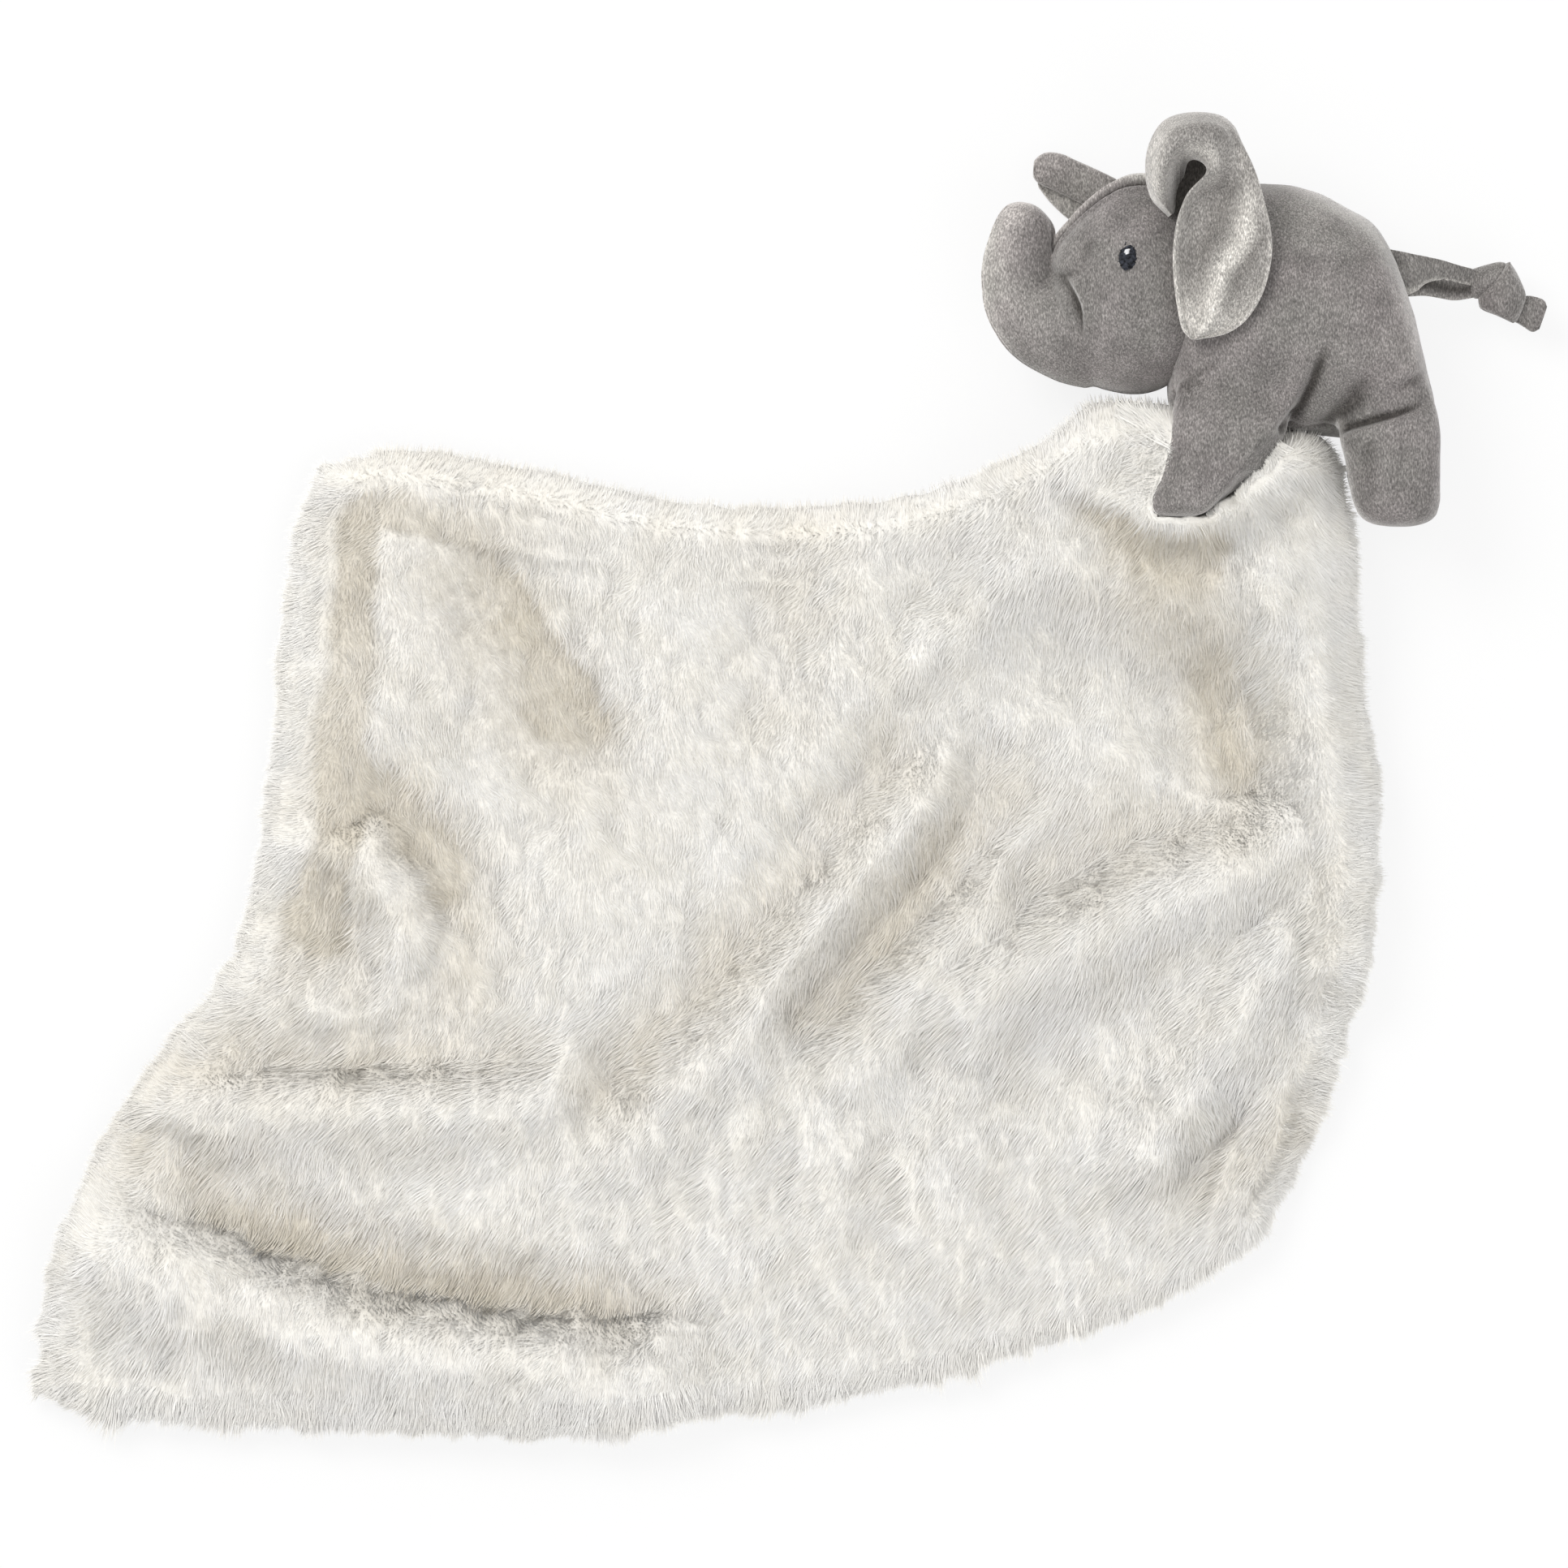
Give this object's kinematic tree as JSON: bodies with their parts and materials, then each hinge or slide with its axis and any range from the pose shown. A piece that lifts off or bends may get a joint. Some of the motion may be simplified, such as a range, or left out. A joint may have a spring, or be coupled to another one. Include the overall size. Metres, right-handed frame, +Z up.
{
  "type": "comfort blanket lovey",
  "caption": "Small stuffed elephant sewn to the corner of a square two-sided fur comfort blanket, laid out flat in soft folds.",
  "frame": {"origin": "middle of the box's underside, on the surface that the toy lies on", "axes": "+Z up from the surface, towards the elephant's left side; +X from the elephant's head to its tail; +Y from its legs to its back"},
  "size_m": [0.4332, 0.3758, 0.0656],
  "materials": {
    "white_fur": "long soft pile",
    "grey_velour": "short napped velour",
    "ear_lining": "short napped velour",
    "black_thread": "satin-stitched thread",
    "filling": "loose fibre filling"
  },
  "bodies": {
    "blanket_and_torso": {"blanket_back_panel": "white_fur", "blanket_face_panel": "white_fur", "torso_left_panel": "grey_velour", "torso_right_panel": "grey_velour", "belly_gusset": "grey_velour", "torso_stuffing": "filling", "left_front_leg_cover": "grey_velour", "left_front_leg_stuffing": "filling", "right_front_leg_cover": "grey_velour", "right_front_leg_stuffing": "filling", "left_hind_leg_cover": "grey_velour", "left_hind_leg_stuffing": "filling", "right_hind_leg_cover": "grey_velour", "right_hind_leg_stuffing": "filling"},
    "head": {"head_left_panel": "grey_velour", "head_right_panel": "grey_velour", "forehead_gusset": "grey_velour", "head_stuffing": "filling", "trunk_left_panel": "grey_velour", "trunk_right_panel": "grey_velour", "trunk_stuffing": "filling", "left_eye": "black_thread", "right_eye": "black_thread"},
    "left_ear": {"left_ear_lining": "ear_lining", "left_ear_back": "grey_velour"},
    "right_ear": {"right_ear_back": "grey_velour", "right_ear_lining": "ear_lining"},
    "tail": {"tail": "grey_velour"}
  },
  "joints": [
    {"name": "neck_bend", "type": "hinge", "parent": "blanket_and_torso", "child": "head", "pos_m": [0.10857, 0.13072, 0.0295], "axis": [0, 0, 1], "range_deg": [-10, 6], "stiffness_Nm_per_rad": 0.03},
    {"name": "left_ear_flap", "type": "hinge", "parent": "head", "child": "left_ear", "pos_m": [0.1074, 0.1459, 0.05437], "axis": [0, -1, 0], "range_deg": [0, 55], "stiffness_Nm_per_rad": 0.004},
    {"name": "right_ear_flap", "type": "hinge", "parent": "head", "child": "right_ear", "pos_m": [0.1074, 0.1459, 0.00463], "axis": [0, -1, 0], "range_deg": [0, 45], "stiffness_Nm_per_rad": 0.004},
    {"name": "tail_swing", "type": "hinge", "parent": "blanket_and_torso", "child": "tail", "pos_m": [0.16944, 0.1419, 0.0295], "axis": [0, 0, 1], "range_deg": [-30, 30], "stiffness_Nm_per_rad": 0.003}
  ]
}
